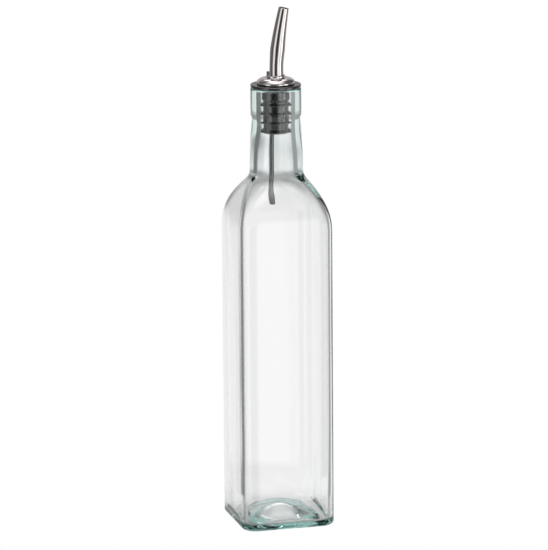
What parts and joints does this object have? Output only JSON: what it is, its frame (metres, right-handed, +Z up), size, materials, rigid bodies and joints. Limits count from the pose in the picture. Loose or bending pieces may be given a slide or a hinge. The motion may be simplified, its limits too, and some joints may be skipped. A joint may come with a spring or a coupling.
{
  "type": "oil pourer bottle",
  "caption": "Tall square clear glass oil bottle with a round neck, closed by a finned rubber stopper that carries a tapered, leaning steel spout and an air tube.",
  "frame": {"origin": "on the bottle's upright axis, at the level of the ring that it stands on", "axes": "+Z up along the bottle; X and Y square to its flat sides; the spout leans towards +X, turned 15 degrees towards -Y"},
  "size_m": [0.057, 0.057, 0.3109],
  "materials": {
    "clear_glass": "polished, faint blue-green tint",
    "black_rubber": "smooth moulded, slightly glossy",
    "polished_steel": "polished steel"
  },
  "bodies": {
    "root": {"bottle": "clear_glass", "stopper": "black_rubber", "cap": "polished_steel", "spout": "polished_steel", "air_tube": "polished_steel"}
  },
  "joints": []
}
